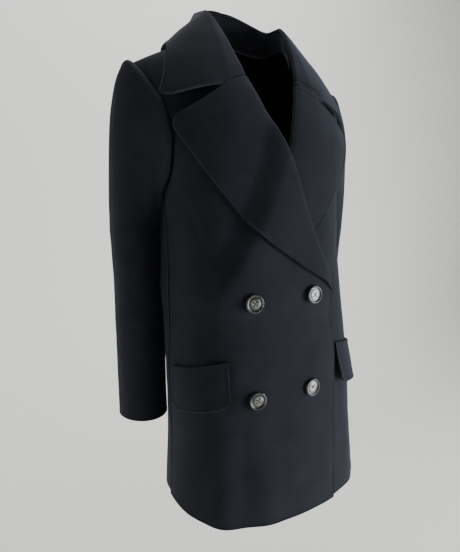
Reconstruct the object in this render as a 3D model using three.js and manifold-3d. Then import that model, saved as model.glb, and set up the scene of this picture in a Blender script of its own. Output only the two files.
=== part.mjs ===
// Double-breasted pea coat in wool melton, hollow and in the form it has when worn.
// Millimetres, +Z up. The coat faces -Y and +X is the wearer's left. The origin lies midway
// between the two points where the shoulder seams meet the neck.

import * as THREE from 'three';
import { mergeVertices } from 'three/addons/utils/BufferGeometryUtils.js';
import Module from 'manifold-3d';

// Cloth
const WALL = 2.8; // one thickness of melton
const DOUBLE = 4.4; // two thicknesses, turned and pressed
const SEAM = 0.4; // gap between neighbouring pieces

// Main sizes
const HEM_DROP = 767; // shoulder neck point down to the hem
const CHEST_DROP = 240; // shoulder line down to the underarm
const OVERLAP = 107; // centre line to each front's free edge
const BREAK_DROP = 395; // shoulder line down to where the lapels start to turn back
const CROSSING_DROP = 134; // shoulder line down to where the two roll lines cross
const NECK_HALF = 75; // half the width of the neck opening on the shoulder line
const SHOULDER_SLOPE = 0.513; // fall of the shoulder seam for each unit of its width
const NAPE_RISE = 35; // how far the back neck stands above the shoulder neck points
const NAPE_DROP = 30; // back neck seam below the line through the nape
const SHOULDER_HALF = 188; // half the distance between the sleeve heads
const FRONT_ROUND = 1.7; // roundness of the chest up to the shoulder line
const BACK_ROUND = 2.2; // roundness of the upper back

// Body sections from the shoulder line to the hem
const BODY = [
  { drop: 0, half: 205, side: 6, front: 112, back: 112, swing: 0, squareFront: 2.2, squareBack: 2.2 },
  { drop: 60, half: 200, side: 2, front: 112, back: 112, swing: 0, squareFront: 2.2, squareBack: 2.2 },
  { drop: 120, half: 188, side: -3, front: 112, back: 112, swing: 0, squareFront: 2.4, squareBack: 2.2 },
  { drop: 180, half: 172, side: -6, front: 112, back: 112, swing: 0, squareFront: 2.6, squareBack: 2.2 },
  { drop: 240, half: 152, side: -6, front: 112, back: 114, swing: 2, squareFront: 2.8, squareBack: 2 },
  { drop: 320, half: 150, side: -6, front: 113, back: 115, swing: 7, squareFront: 2.9, squareBack: 2 },
  { drop: 420, half: 157, side: -6, front: 114, back: 119, swing: 14, squareFront: 2.9, squareBack: 2 },
  { drop: 520, half: 166, side: -6, front: 117, back: 127, swing: 21, squareFront: 2.9, squareBack: 2.05 },
  { drop: 640, half: 175, side: -6, front: 121, back: 136, swing: 32, squareFront: 2.5, squareBack: 2.1 },
  { drop: 767, half: 188, side: -6, front: 125, back: 144, swing: 40, squareFront: 2.2, squareBack: 2.2 },
];

// Armhole edges, as angles round the body from the centre front and from the centre back
const ARMHOLE = [
  { drop: 0, front: 65.4, back: 65.4 },
  { drop: 40, front: 59, back: 63 },
  { drop: 90, front: 55, back: 61 },
  { drop: 140, front: 56, back: 62 },
  { drop: 180, front: 62, back: 67 },
  { drop: 215, front: 74, back: 77 },
  { drop: 240, front: 90, back: 90 },
];

// Distance of the roll line from the centre line, on the wearer's own side above the crossing
const ROLL = [
  { drop: 0, x: -75 },
  { drop: 30, x: -66 },
  { drop: 80, x: -48 },
  { drop: 134, x: -27 },
  { drop: 250, x: 15 },
  { drop: 330, x: 51 },
  { drop: 395, x: 90 },
];

// Outer edge of a lapel, from the break up to its tip; run goes from 0 to 1 along the roll line
const LAPEL_EDGE = [
  { run: 0, x: 92, drop: 391 },
  { run: 0.12, x: 72, drop: 380 },
  { run: 0.32, x: 18, drop: 352 },
  { run: 0.53, x: -50, drop: 306 },
  { run: 0.74, x: -104, drop: 240 },
  { run: 0.9, x: -146, drop: 169 },
  { run: 1, x: -161, drop: 126 },
];
// How much higher the hem hangs than at the centre front
const HEM_LIFT = [
  { angle: 0, lift: 0 },
  { angle: 35, lift: 1 },
  { angle: 65, lift: 10 },
  { angle: 90, lift: 22 },
  { angle: 125, lift: 30 },
  { angle: 180, lift: 26 },
];
const GORGE_DROP = 80; // shoulder line down to the top of the lapel on the roll line
const TIP = { radius: 18, width: 110 }; // rounded tips of the lapels and the collar
const FOLD_RADIUS = 6; // outer radius of the cloth where a lapel or the collar rolls over

// Collar fall from the centre back to its front end on the wearer's right: neck seam, height of
// the roll above it, and outer edge. Drops are positive down the front, negative down the back.
const COLLAR = [
  { at: 0, seamX: 0, seamDrop: -30, riseX: 0, riseY: 19, riseZ: 70, edgeX: 0, edgeDrop: -80, sag: 0 },
  { at: 0.2, seamX: -32, seamDrop: -27, riseX: -3, riseY: 16, riseZ: 68, edgeX: -62, edgeDrop: -72, sag: 0 },
  { at: 0.4, seamX: -60, seamDrop: -16, riseX: -2, riseY: 11, riseZ: 57, edgeX: -110, edgeDrop: -40, sag: 0 },
  { at: 0.55, seamX: -75, seamDrop: 0, riseX: 4, riseY: 2, riseZ: 38, edgeX: -131, edgeDrop: -5, sag: 0 },
  { at: 0.7, seamX: -68, seamDrop: 20, riseX: 3, riseY: -2, riseZ: 24, edgeX: -147, edgeDrop: 18, sag: 0 },
  { at: 0.86, seamX: -58, seamDrop: 52, riseX: 1, riseY: -5, riseZ: 12, edgeX: -158, edgeDrop: 52, sag: 3 },
  { at: 0.96, seamX: -51, seamDrop: 73, riseX: 0, riseY: -6, riseZ: 6, edgeX: -165, edgeDrop: 76, sag: 12 },
  { at: 1, seamX: -49, seamDrop: 78, riseX: 0, riseY: -6, riseZ: 5, edgeX: -163, edgeDrop: 87, sag: 14 },
];
const NOTCH_SHARE = 0.34; // share of the collar's front end that is sewn to the lapel
const COLLAR_GAP = 4.2; // under the fall's edge
const STAND_CLEARANCE = 7.6; // from the top of the stand to the top of the roll
const STAND_INSET = { top: 4.5, foot: 3.1 }; // from the neck seam to the stand's inner face
const STAND_END = 0.84; // where the stand has run out on its way to the front

// Sleeve sections below the armhole: centre and half sizes on the wearer's left
const SLEEVE = [
  { drop: 300, x: 178, y: 51, halfX: 39, halfY: 50 },
  { drop: 380, x: 171, y: 61, halfX: 40, halfY: 49 },
  { drop: 470, x: 167, y: 68, halfX: 41, halfY: 48 },
  { drop: 560, x: 165, y: 74, halfX: 41, halfY: 47 },
  { drop: 624, x: 164, y: 75, halfX: 41, halfY: 47 },
];
const SLEEVE_JOIN = 300; // drop where the sleeve has become a level tube
const CUFF_DROP = 624;
const HEAD_RISE = 0.38; // upward start of the sleeve head, as a share of its outward start

// Soft folds of the body: angle from the centre front, width, depth and where they begin
const FOLDS = [
  { angle: -19, width: 7, depth: 5, from: 520 },
  { angle: -44, width: 9, depth: 7, from: 560 },
  { angle: 38, width: 8, depth: 5, from: 560 },
  { angle: 118, width: 10, depth: 8, from: 470 },
  { angle: 158, width: 10, depth: 7, from: 430 },
  { angle: 196, width: 11, depth: 8, from: 410 },
  { angle: 240, width: 16, depth: -7, from: 300 },
];

// Flaps and buttons
const FLAP = { top: 489, height: 71, corner: 15, farAngle: 84, slant: 20 };
const FLAP_NEAR = { right: 92, left: 112 }; // the left one starts beside the overlap
const FLAP_LIFT = { right: 3, left: 9 };
const FLAP_GAP = 0.5; // between a flap and the front where it is sewn on
const BUTTON = { radius: 14, thick: 5, rim: 2.6, holeRadius: 1.1, holeSpread: 2.7 };
// clear is what each button stands off the cloth, which is more where the cloth bends
const BUTTONS = [
  { name: 'button_right_1', x: -59, drop: 403, clear: 0.8 },
  { name: 'button_left_1', x: 44, drop: 399, clear: 0.8 },
  { name: 'button_right_2', x: -51, drop: 554, clear: 0.4 },
  { name: 'button_left_2', x: 48, drop: 551, clear: 0.2 },
];

const NAVY = { color: 0x171b24, roughness: 0.95, metalness: 0 };
const HORN = { color: 0x4a4b48, roughness: 0.35, metalness: 0 };

const radians = THREE.MathUtils.degToRad;
const degrees = THREE.MathUtils.radToDeg;
const mix = THREE.MathUtils.lerp;
const ease = THREE.MathUtils.smoothstep;

/** Value of a table's column between its rows, on a smooth curve through them. */
function read(table, by, key, at) {
  const last = table.length - 1;
  const place = Math.min(Math.max(at, table[0][by]), table[last][by]);
  let i = 0;
  while (i < last - 1 && place > table[i + 1][by]) i += 1;
  const slope = (a, b) => (table[b][key] - table[a][key]) / (table[b][by] - table[a][by]);
  const here = slope(i, i + 1);
  const steady = (a, b) => (a * b <= 0 ? 0 : (2 * a * b) / (a + b));
  const start = i > 0 ? steady(slope(i - 1, i), here) : here;
  const end = i < last - 1 ? steady(here, slope(i + 1, i + 2)) : here;
  const span = table[i + 1][by] - table[i][by];
  const t = (place - table[i][by]) / span;
  const rise = table[i + 1][key] - table[i][key];
  const bend = t * (1 - t) * ((1 - t) * (start * span - rise) + t * (rise - end * span));
  return table[i][key] + rise * t + bend;
}

const body = (key, drop) => read(BODY, 'drop', key, drop);

/** Share of the full depth that the body has reached below the shoulder line. */
function roundness(drop, power) {
  if (drop >= CHEST_DROP) return 1;
  return (1 - (1 - drop / CHEST_DROP) ** power) ** (1 / power);
}

/** Height of the shoulder line above the level of the neck points. */
function shoulderLine(x, isBack) {
  const outside = Math.max(Math.abs(x) - NECK_HALF, 0);
  const inside = Math.min(Math.abs(x) / NECK_HALF, 1);
  return (isBack ? NAPE_RISE * (1 - inside ** 2) : 0) - SHOULDER_SLOPE * outside;
}

function foldDepth(angle, drop) {
  let depth = 0;
  for (const fold of FOLDS) {
    const turn = ((angle - fold.angle + 540) % 360) - 180;
    depth += fold.depth * Math.exp(-((turn / fold.width) ** 2)) * ease(drop, fold.from, HEM_DROP);
  }
  return depth;
}

/** Point on the body's outer face. Angle 0 is the centre front, 90 the left side, 180 the back. */
function facePoint(angle, drop) {
  const sine = Math.sin(radians(angle));
  const cosine = Math.cos(radians(angle));
  const isBack = cosine < 0;
  const power = 2 / body(isBack ? 'squareBack' : 'squareFront', drop);
  const across = Math.sign(sine) * Math.abs(sine) ** power;
  const along = Math.sign(cosine) * Math.abs(cosine) ** power;
  const reach = isBack
    ? body('back', drop) * roundness(drop, BACK_ROUND)
    : body('front', drop) * roundness(drop, FRONT_ROUND);
  const swell = 1 + foldDepth(angle, drop) / body('half', drop);
  const x = body('swing', drop) + body('half', drop) * across * swell;
  const y = body('side', drop) - reach * along * swell;
  const fade = 1 - ease(drop, 0, CHEST_DROP);
  return new THREE.Vector3(x, y, -drop + shoulderLine(x, isBack) * fade);
}

/** Angle from the centre front, or from the centre back, where the face has this x. */
function angleAt(x, drop, isBack = false) {
  const power = body(isBack ? 'squareBack' : 'squareFront', drop) / 2;
  const share = THREE.MathUtils.clamp((x - body('swing', drop)) / body('half', drop), -1, 1);
  return Math.sign(share) * degrees(Math.asin(Math.abs(share) ** power));
}

/** Face point that carries on over the shoulder line, to the other side, at a negative drop. */
function overShoulder(angle, drop) {
  return drop >= 0 ? facePoint(angle, drop) : facePoint(180 - angle, -drop);
}

/** Point on the body moved out along the face's normal. */
function onBody(angle, drop, out = 0) {
  const turn = 0.6;
  const step = 1.5;
  const across = facePoint(angle + turn, drop).sub(facePoint(angle - turn, drop));
  const down = overShoulder(angle, drop + step).sub(overShoulder(angle, drop - step));
  const normal = down.cross(across).normalize();
  return facePoint(angle, drop).addScaledVector(normal, out);
}

/** Point above the shoulders by its x and its signed drop: positive in front, negative behind. */
function onShoulder(x, drop, out = 0) {
  if (drop >= 0) return onBody(angleAt(x, drop), drop, out);
  return onBody(180 - angleAt(x, -drop, true), -drop, out);
}

const rollX = (drop) => read(ROLL, 'drop', 'x', drop);

/** Closed wall between an outer and an inner net of points with the same rows and columns. */
function wall(outer, inner) {
  const rows = outer.length;
  const cols = outer[0].length;
  const points = [...outer.flat(), ...inner.flat()];
  const id = (side, i, j) => side * rows * cols + i * cols + j;
  const faces = [];
  const quad = (a, b, c, d) => faces.push(a, b, c, a, c, d);
  for (let i = 0; i < rows - 1; i += 1) {
    for (let j = 0; j < cols - 1; j += 1) {
      quad(id(0, i, j), id(0, i + 1, j), id(0, i + 1, j + 1), id(0, i, j + 1));
      quad(id(1, i, j), id(1, i, j + 1), id(1, i + 1, j + 1), id(1, i + 1, j));
    }
    quad(id(0, i, 0), id(1, i, 0), id(1, i + 1, 0), id(0, i + 1, 0));
    const j = cols - 1;
    quad(id(0, i, j), id(0, i + 1, j), id(1, i + 1, j), id(1, i, j));
  }
  for (let j = 0; j < cols - 1; j += 1) {
    quad(id(0, 0, j), id(0, 0, j + 1), id(1, 0, j + 1), id(1, 0, j));
    const i = rows - 1;
    quad(id(0, i, j), id(1, i, j), id(1, i, j + 1), id(0, i, j + 1));
  }
  return closed(points, faces);
}

/** Geometry from points and faces, turned so that its volume is positive. */
function closed(points, faces) {
  let volume = 0;
  for (let k = 0; k < faces.length; k += 3) {
    const [a, b, c] = [points[faces[k]], points[faces[k + 1]], points[faces[k + 2]]];
    volume += a.dot(new THREE.Vector3().crossVectors(b, c));
  }
  const geometry = new THREE.BufferGeometry();
  geometry.setFromPoints(points);
  geometry.setIndex(volume > 0 ? faces : faces.toReversed());
  geometry.computeVertexNormals();
  return geometry;
}

/** Net of points from a function of row share and column share. */
function net(rows, cols, at) {
  const line = (i) => Array.from({ length: cols + 1 }, (_, j) => at(i / rows, j / cols));
  return Array.from({ length: rows + 1 }, (_, i) => line(i));
}

/** Wall whose net is given as a function of row, column and depth into the cloth. */
function sheet(rows, cols, thick, at) {
  return wall(net(rows, cols, (v, u) => at(v, u, 0)), net(rows, cols, (v, u) => at(v, u, thick)));
}

const garment = new THREE.Group();

function add(name, geometry, finish = NAVY) {
  const mesh = new THREE.Mesh(geometry, new THREE.MeshStandardMaterial(finish));
  mesh.name = name;
  garment.add(mesh);
  return mesh;
}

/** Drop of the hem at an angle round the body. */
function hemDrop(angle) {
  return HEM_DROP - read(HEM_LIFT, 'angle', 'lift', Math.abs(angle));
}

/** Drop of a row: close together over the shoulder, even from there to the hem. */
function rowDrop(v, top, hem) {
  const shoulderShare = 0.42;
  if (v < shoulderShare) return mix(top, CHEST_DROP, (v / shoulderShare) ** 1.7);
  return mix(CHEST_DROP, hem, (v - shoulderShare) / (1 - shoulderShare));
}

const armhole = (drop, key) => read(ARMHOLE, 'drop', key, drop);

// Back
const BACK_ROWS = 24;
const BACK_COLUMNS = 24;

function backTop(x) {
  const share = Math.min(Math.abs(x) / NECK_HALF, 1);
  return NAPE_DROP * Math.sqrt(1 - share ** 2);
}

function backPoint(v, u, depth) {
  const side = mix(-1, 1, u);
  const top = backTop(side * SHOULDER_HALF);
  const drop = rowDrop(v, top, hemDrop(180 - side * 90));
  const sideGap = 0.12;
  const turn = side * (armhole(drop, 'back') - sideGap);
  const shoulderGap = drop < 1 ? SEAM / 2 : 0;
  const point = onBody(180 - turn, drop, -depth);
  point.y += shoulderGap;
  return point;
}

add('back', sheet(BACK_ROWS, BACK_COLUMNS, WALL, backPoint));

// Fronts: the right one laps over the left one and over the left lapel
const FRONT_ROWS = 24;
const FRONT_COLUMNS = 16;
const LAPEL_GAP = 1.5;
const LAPEL_LIFT = 3.8;

/** How far the right front stands out to pass over the left front and the left lapel. */
function lapOut(x, drop) {
  const overlapFrom = drop > BREAK_DROP ? -OVERLAP : -rollX(drop);
  const overFront = ease(x, overlapFrom - 56, overlapFrom - 9) * ease(drop, CROSSING_DROP - 60, CROSSING_DROP);
  const overLapel = 1 - ease(drop, BREAK_DROP - 10, BREAK_DROP + 60);
  return overFront * (WALL + LAPEL_GAP + overLapel * (DOUBLE + LAPEL_LIFT + LAPEL_GAP));
}

function frontPoint(side, v, u, depth) {
  const hemStart = angleAt(-side * OVERLAP, HEM_DROP);
  const drop = rowDrop(v, 0, hemDrop(mix(hemStart, side * 90, u)));
  const inner = side * (drop > BREAK_DROP ? -OVERLAP : -rollX(drop));
  const sideGap = 0.12;
  const from = angleAt(inner, drop);
  const to = side * (armhole(drop, 'front') - sideGap);
  const angle = mix(from, to, u);
  const out = side < 0 ? lapOut(facePoint(angle, drop).x, drop) : 0;
  const point = onBody(angle, drop, out - depth);
  if (drop < 1) point.y -= SEAM / 2;
  return point;
}

for (const [name, side] of [['right_front', -1], ['left_front', 1]]) {
  add(name, sheet(FRONT_ROWS, FRONT_COLUMNS, WALL, (v, u, depth) => frontPoint(side, v, u, depth)));
}

// Lapels, turned back along the roll lines
const LAPEL_ROWS = 17;
const LAPEL_COLUMNS = 10;
const LAPEL_LENGTH = 340; // along the outer edge
const ROWS_TO_TIP = 1.3; // rows are closer together towards the tip
const FOLD_SHARE = 0.2; // share of the columns that go round the fold
const FOLD_TURN = radians(75);
const PUFF = 3;

/** Place across a turned-back piece: reach past the fold and height lost there, or share outward. */
function acrossFold(u) {
  if (u >= FOLD_SHARE) return { past: 0, lost: 0, share: (u - FOLD_SHARE) / (1 - FOLD_SHARE) };
  const turn = FOLD_TURN * (1 - u / FOLD_SHARE);
  return { past: FOLD_RADIUS * Math.sin(turn), lost: FOLD_RADIUS * (1 - Math.cos(turn)), share: 0 };
}

/** Share that is left of a row across a piece, where the piece's tip is round. */
function tipShare(fromEnd) {
  const short = Math.max(TIP.radius - fromEnd, 0);
  return 1 - (TIP.radius - Math.sqrt(TIP.radius ** 2 - short ** 2)) / TIP.width;
}

function lapelFace(side, v, u) {
  const run = mix(0.03, 1, 1 - (1 - v) ** ROWS_TO_TIP);
  const { past, lost, share: reach } = acrossFold(u);
  const share = reach * tipShare((1 - run) * LAPEL_LENGTH);
  const rollDrop = mix(BREAK_DROP, GORGE_DROP, run);
  const x = mix(rollX(rollDrop), read(LAPEL_EDGE, 'run', 'x', run), share) + past;
  const drop = mix(rollDrop, read(LAPEL_EDGE, 'run', 'drop', run), share);
  const under = side < 0 ? lapOut(x, drop) : 0;
  const puff = PUFF * Math.sin(Math.PI * Math.sqrt(share)) * run;
  return onBody(angleAt(-side * x, drop), drop, under + DOUBLE + LAPEL_GAP + puff - lost);
}

/** Wall under a face: its inner net lies one thickness below, square to the face. */
function shell(rows, cols, thick, face) {
  const step = 0.004;
  const normalAt = (v, u) => {
    const v0 = Math.max(v - step, 0);
    const u0 = Math.max(u - step, 0);
    const down = face(Math.min(v + step, 1), u).sub(face(v0, u));
    const across = face(v, Math.min(u + step, 1)).sub(face(v, u0));
    return down.cross(across).normalize();
  };
  const middle = face(0.5, 0.7);
  const outward = new THREE.Vector3(middle.x, middle.y, 0);
  const sign = Math.sign(normalAt(0.5, 0.7).dot(outward));
  const inner = (v, u) => face(v, u).addScaledVector(normalAt(v, u), -sign * thick);
  return wall(net(rows, cols, face), net(rows, cols, inner));
}

for (const [name, side] of [['right_lapel', -1], ['left_lapel', 1]]) {
  add(name, shell(LAPEL_ROWS, LAPEL_COLUMNS, DOUBLE, (v, u) => lapelFace(side, v, u)));
}

// Collar: a fall that lies on the shoulders and a stand inside it
const COLLAR_STATIONS = 32;
const FALL_COLUMNS = 9;
const STAND_COLUMNS = 3;
const COLLAR_LENGTH = 290; // half of the fall, along its outer edge
const collar = (at, key) => read(COLLAR, 'at', key, Math.abs(at));
const sideOf = (at) => (at < 0 ? 1 : -1);

/** Foot of the collar on the neck seam; at runs from -1, the right front end, to 1, the left. */
function collarFoot(at, out = 0) {
  return onShoulder(sideOf(at) * collar(at, 'seamX'), collar(at, 'seamDrop'), out);
}

function collarRise(at) {
  return new THREE.Vector3(sideOf(at) * collar(at, 'riseX'), collar(at, 'riseY'), collar(at, 'riseZ'));
}

/** Direction across the roll, towards the neck. */
function towardsNeck(at) {
  const roll = (place) => collarFoot(place).add(collarRise(place));
  const step = 0.02;
  const along = roll(Math.min(at + step, 1)).sub(roll(Math.max(at - step, -1)));
  return collarRise(at).cross(along).normalize().negate();
}

/** Place along the collar of a row; rows are closer together near both ends. */
const fallPlace = (v) => mix(-1, 1, v - 0.07 * Math.sin(2 * Math.PI * v));

function fallFace(v, u) {
  const at = fallPlace(v);
  const { past, lost, share: reach } = acrossFold(u);
  const share = reach * tipShare((1 - Math.abs(at)) * COLLAR_LENGTH);
  const rest = DOUBLE + COLLAR_GAP;
  const seamX = collar(at, 'seamX');
  const seamDrop = collar(at, 'seamDrop');
  const x = mix(seamX, collar(at, 'edgeX'), share);
  const sag = collar(at, 'sag') * Math.min(share / NOTCH_SHARE, (1 - share) / (1 - NOTCH_SHARE));
  const drop = mix(seamDrop, collar(at, 'edgeDrop'), share) + sag;
  const lift = (1 - share) ** 1.35;
  const puff = 3 * Math.sin(Math.PI * share);
  const point = onShoulder(sideOf(at) * x, drop, rest * (1 - lift) + puff);
  point.addScaledVector(collarRise(at), lift);
  if (past === 0) return point;
  const up = collarRise(at).normalize();
  return point.addScaledVector(towardsNeck(at), past).addScaledVector(up, -lost);
}

add('collar_fall', shell(COLLAR_STATIONS, FALL_COLUMNS, DOUBLE, fallFace));

function standFace(v, u) {
  const at = mix(-STAND_END, STAND_END, v);
  const foot = collarFoot(at, SEAM);
  const rise = collarRise(at);
  const height = 1 - STAND_CLEARANCE / rise.length();
  const inset = mix(STAND_INSET.top, STAND_INSET.foot, u);
  return foot.addScaledVector(rise, height * (1 - u)).addScaledVector(towardsNeck(at), inset);
}

add('collar_stand', shell(COLLAR_STATIONS, STAND_COLUMNS, WALL, standFace));

// Sleeves, each in a front and a back half
const SLEEVE_ROWS = 20;
const SLEEVE_COLUMNS = 8;
const HEAD_SHARE = 0.55; // share of the rows above the level tube
const UNDERARM_CLEARANCE = 6;
const LEFT_SLEEVE_OUT = 27; // the left sleeve stands further out than the right one
const LEFT_SLEEVE_SWING = 1.65; // and is carried out by the swing of the body
const sleeve = (drop, key) => read(SLEEVE, 'drop', key, drop);

/** Armhole edge round the sleeve: turn 0 is the shoulder, 90 the front, 180 the underarm. */
function armholePoint(side, turn) {
  const low = (1 - Math.cos(radians(turn))) / 2;
  const drop = low * (CHEST_DROP - UNDERARM_CLEARANCE);
  const isFront = turn <= 180;
  const gap = 0.5 * (1 - low);
  const angle = armhole(drop, isFront ? 'front' : 'back') + gap;
  return onBody(isFront ? side * angle : 180 - side * angle, drop, low * UNDERARM_CLEARANCE);
}

function tubePoint(side, turn, drop) {
  const carried = side > 0 ? LEFT_SLEEVE_OUT + LEFT_SLEEVE_SWING * body('swing', drop) : 0;
  const x = sleeve(drop, 'x') + carried + sleeve(drop, 'halfX') * Math.cos(radians(turn));
  const y = sleeve(drop, 'y') - sleeve(drop, 'halfY') * Math.sin(radians(turn));
  return new THREE.Vector3(side * x, y, -drop);
}

function sleeveFace(side, turn, v) {
  if (v >= HEAD_SHARE) {
    return tubePoint(side, turn, mix(SLEEVE_JOIN, CUFF_DROP, (v - HEAD_SHARE) / (1 - HEAD_SHARE)));
  }
  const t = v / HEAD_SHARE;
  const low = (1 - Math.cos(radians(turn))) / 2;
  const from = armholePoint(side, turn);
  const to = tubePoint(side, turn, SLEEVE_JOIN);
  const outward = mix(120, 24, low);
  const start = new THREE.Vector3(side, -0.25 * Math.sin(radians(turn)), mix(HEAD_RISE, -0.5, low));
  const end = new THREE.Vector3(0, 0.1, -1).multiplyScalar(mix(205, 60, low));
  start.multiplyScalar(outward);
  return from.multiplyScalar((1 + 2 * t) * (1 - t) ** 2)
    .addScaledVector(start, t * (1 - t) ** 2)
    .addScaledVector(to, t * t * (3 - 2 * t))
    .addScaledVector(end, t * t * (t - 1));
}

const SLEEVE_SEAM_TURN = 0.35;
for (const [sideName, side] of [['right', -1], ['left', 1]]) {
  for (const [half, from] of [['front', 0], ['back', 180]]) {
    const turnAt = (u) => mix(from + SLEEVE_SEAM_TURN, from + 180 - SLEEVE_SEAM_TURN, u);
    const face = (v, u) => sleeveFace(side, turnAt(u), v);
    add(`${sideName}_sleeve_${half}`, shell(SLEEVE_ROWS, SLEEVE_COLUMNS, WALL, face));
  }
}

// Pocket flaps
const FLAP_ROWS = 5;
const FLAP_COLUMNS = 11;

function flapFace(side, v, u) {
  const name = side < 0 ? 'right' : 'left';
  const middle = FLAP.top + FLAP.height / 2;
  const near = Math.abs(angleAt(side * FLAP_NEAR[name], middle));
  const angle = side * mix(near, FLAP.farAngle, u);
  const width = facePoint(side * near, middle).distanceTo(facePoint(side * FLAP.farAngle, middle));
  const fromEnd = Math.min(u, 1 - u) * width;
  const short = Math.max(FLAP.corner - fromEnd, 0);
  const round = FLAP.corner - Math.sqrt(FLAP.corner ** 2 - short ** 2);
  const drop = FLAP.top + FLAP.slant * u + v * (FLAP.height - round);
  const under = side < 0 ? lapOut(facePoint(angle, drop).x, drop) : 0;
  const lift = FLAP_LIFT[name] * v ** 1.5 * (1 - 0.6 * u);
  return onBody(angle, drop, under + DOUBLE + FLAP_GAP + lift);
}

for (const [name, side] of [['right_pocket_flap', -1], ['left_pocket_flap', 1]]) {
  add(name, shell(FLAP_ROWS, FLAP_COLUMNS, DOUBLE, (v, u) => flapFace(side, v, u)));
}

// Buttons, with a raised rim, a dished middle and four holes
const wasm = await Module();
wasm.setup();

function solid(geometry) {
  for (const name of ['normal', 'uv']) geometry.deleteAttribute(name);
  const merged = mergeVertices(geometry);
  const mesh = { vertProperties: merged.attributes.position.array, triVerts: merged.index.array };
  return new wasm.Manifold(new wasm.Mesh({ numProp: 3, ...mesh }));
}

function buttonGeometry() {
  const { radius, thick, rim, holeRadius, holeSpread } = BUTTON;
  const profile = [
    [0, 0], [radius * 0.72, 0], [radius * 0.95, thick * 0.35], [radius, thick * 0.62],
    [radius * 0.97, thick * 0.9], [radius - rim * 0.6, thick], [radius - rim * 1.2, thick * 0.86],
    [radius * 0.55, thick * 0.58], [0, thick * 0.5],
  ].map(([r, h]) => new THREE.Vector2(r, h));
  const lathe = new THREE.LatheGeometry(profile, 20).rotateX(Math.PI / 2);
  let blank = solid(lathe);
  for (const [i, j] of [[1, 1], [1, -1], [-1, 1], [-1, -1]]) {
    const drill = new THREE.CylinderGeometry(holeRadius, holeRadius, thick * 4, 8).rotateX(Math.PI / 2);
    drill.translate(i * holeSpread, j * holeSpread, 0);
    blank = blank.subtract(solid(drill));
  }
  const mesh = blank.getMesh();
  const geometry = new THREE.BufferGeometry();
  geometry.setAttribute('position', new THREE.BufferAttribute(new Float32Array(mesh.vertProperties), 3));
  geometry.setIndex(Array.from(mesh.triVerts));
  geometry.computeVertexNormals();
  return geometry;
}

for (const { name, x, drop, clear } of BUTTONS) {
  const angle = angleAt(x, drop);
  const out = lapOut(x, drop);
  const normal = onBody(angle, drop, out + 1).sub(onBody(angle, drop, out)).normalize();
  const mesh = add(name, buttonGeometry(), HORN);
  mesh.position.copy(onBody(angle, drop, out + clear));
  mesh.quaternion.setFromUnitVectors(new THREE.Vector3(0, 0, 1), normal);
}

export default garment;
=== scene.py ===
# %% [markdown]
# # A double-breasted wool coat, from flat pieces to a worn form
#
# A coat is a set of flat pieces of cloth, sewn together along their edges and held
# out by the shoulders that carry it. This lesson builds each piece as a thin shell,
# with the soft drape, the rolled edges and the nap that heavy wool has.
#
# The pieces are fitted to a frame of plain solids. The frame gives the size and the
# place of every piece, and the scene gives its surface.

# %% Load the frame
import math

import bpy
import numpy as np
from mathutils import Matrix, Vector


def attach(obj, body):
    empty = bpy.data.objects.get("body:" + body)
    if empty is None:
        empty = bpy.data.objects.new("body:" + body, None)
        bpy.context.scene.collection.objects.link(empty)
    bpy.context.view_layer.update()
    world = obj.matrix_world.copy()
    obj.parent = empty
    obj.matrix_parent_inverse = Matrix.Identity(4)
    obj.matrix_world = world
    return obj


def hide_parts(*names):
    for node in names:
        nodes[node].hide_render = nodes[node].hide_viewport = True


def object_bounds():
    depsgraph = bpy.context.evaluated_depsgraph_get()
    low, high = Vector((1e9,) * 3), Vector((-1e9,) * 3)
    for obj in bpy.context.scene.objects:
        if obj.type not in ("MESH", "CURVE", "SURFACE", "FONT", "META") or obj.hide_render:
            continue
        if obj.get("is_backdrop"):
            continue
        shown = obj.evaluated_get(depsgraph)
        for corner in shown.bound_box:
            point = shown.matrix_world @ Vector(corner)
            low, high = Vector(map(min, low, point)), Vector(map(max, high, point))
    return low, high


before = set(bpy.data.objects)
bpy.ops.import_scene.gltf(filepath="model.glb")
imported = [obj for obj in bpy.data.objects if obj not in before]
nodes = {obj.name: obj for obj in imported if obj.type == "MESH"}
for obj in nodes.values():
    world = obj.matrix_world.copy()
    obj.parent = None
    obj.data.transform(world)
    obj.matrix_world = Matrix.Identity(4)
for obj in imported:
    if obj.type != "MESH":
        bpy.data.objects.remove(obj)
frame_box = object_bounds()
print(f"The frame has {len(nodes)} pieces.")

# %% [markdown]
# ## The main sizes
#
# A tailor measures a coat from the shoulder line down. The sizes below do the same,
# in millimetres, because cloth is cut in millimetres. They become metres when a mesh
# is made. "Drop" is the distance below the shoulder line.

# %% Sizes
METRE = 1000.0

WALL = 2.8              # one thickness of melton
DOUBLE = 4.4            # two thicknesses, turned and pressed
SEAM = 0.05             # gap between neighbouring pieces
SIDE_GAP = 0.01         # half the gap at the side seams, in degrees round the body

HEM_DROP = 767.0
CHEST_DROP = 240.0      # down to the underarm
OVERLAP = 107.0         # centre line to each front's free edge
BREAK_DROP = 395.0      # where the lapels start to turn back
CROSSING_DROP = 134.0   # where the two roll lines cross
GORGE_DROP = 80.0       # top of the lapel on the roll line
NECK_HALF = 75.0
SHOULDER_SLOPE = 0.513
NAPE_RISE = 35.0
NAPE_DROP = 30.0
SHOULDER_HALF = 188.0
FRONT_ROUND = 1.7       # roundness of the chest up to the shoulder line
BACK_ROUND = 2.2

# %% [markdown]
# ## Tables with named columns
#
# The form of the body changes slowly from the shoulders to the hem, so a few level
# sections are enough. A smooth curve runs through each column. It never overshoots
# its rows, so the cloth gets no bumps that nobody asked for.

# %% Sections of the body, the armhole and the roll line
def table(**columns):
    """A table as named columns of equal length. It is read by its first column."""
    return {name: np.array(values, float) for name, values in columns.items()}


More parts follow.
